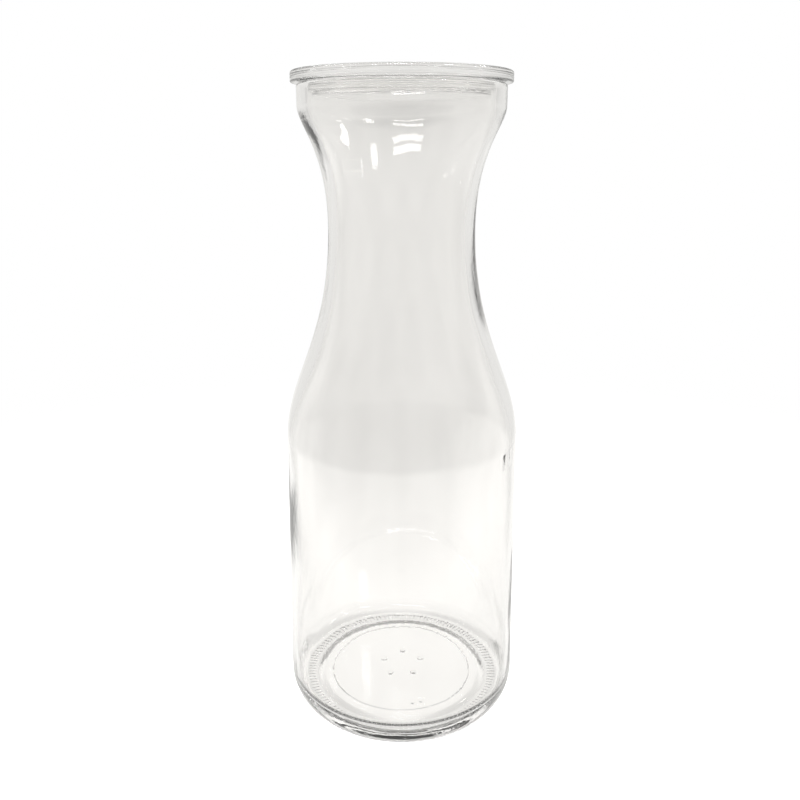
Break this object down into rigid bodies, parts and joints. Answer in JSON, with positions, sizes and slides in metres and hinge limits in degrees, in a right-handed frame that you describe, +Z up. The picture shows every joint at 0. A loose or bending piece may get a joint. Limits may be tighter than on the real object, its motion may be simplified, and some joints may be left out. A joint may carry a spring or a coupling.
{
  "type": "milk bottle",
  "caption": "Clear glass milk bottle with a straight collar, long waisted neck, rounded shoulder and cylindrical body, closed by a flat clear press-on lid.",
  "frame": {"origin": "centre of the bearing ring, in the plane the bottle stands on", "axes": "+Z up the bottle's axis towards the lid; the front is towards -Y"},
  "size_m": [0.0986, 0.0986, 0.2621],
  "materials": {
    "bottle_glass": "clear soda-lime glass, fire polished outside, faintly wavy, with a knurled bearing ring",
    "lid_clear": "clear rigid plastic, moulded, slightly satin from use",
    "seal_rubber": "translucent soft sealing ring"
  },
  "bodies": {
    "bottle_body": {"bottle": "bottle_glass"},
    "lid_body": {"lid": "lid_clear", "lid_seal": "seal_rubber"}
  },
  "joints": [
    {"name": "lid_lift", "type": "slide", "parent": "bottle_body", "child": "lid_body", "axis": [0, 0, 1], "range_m": [0, 0.02]}
  ]
}
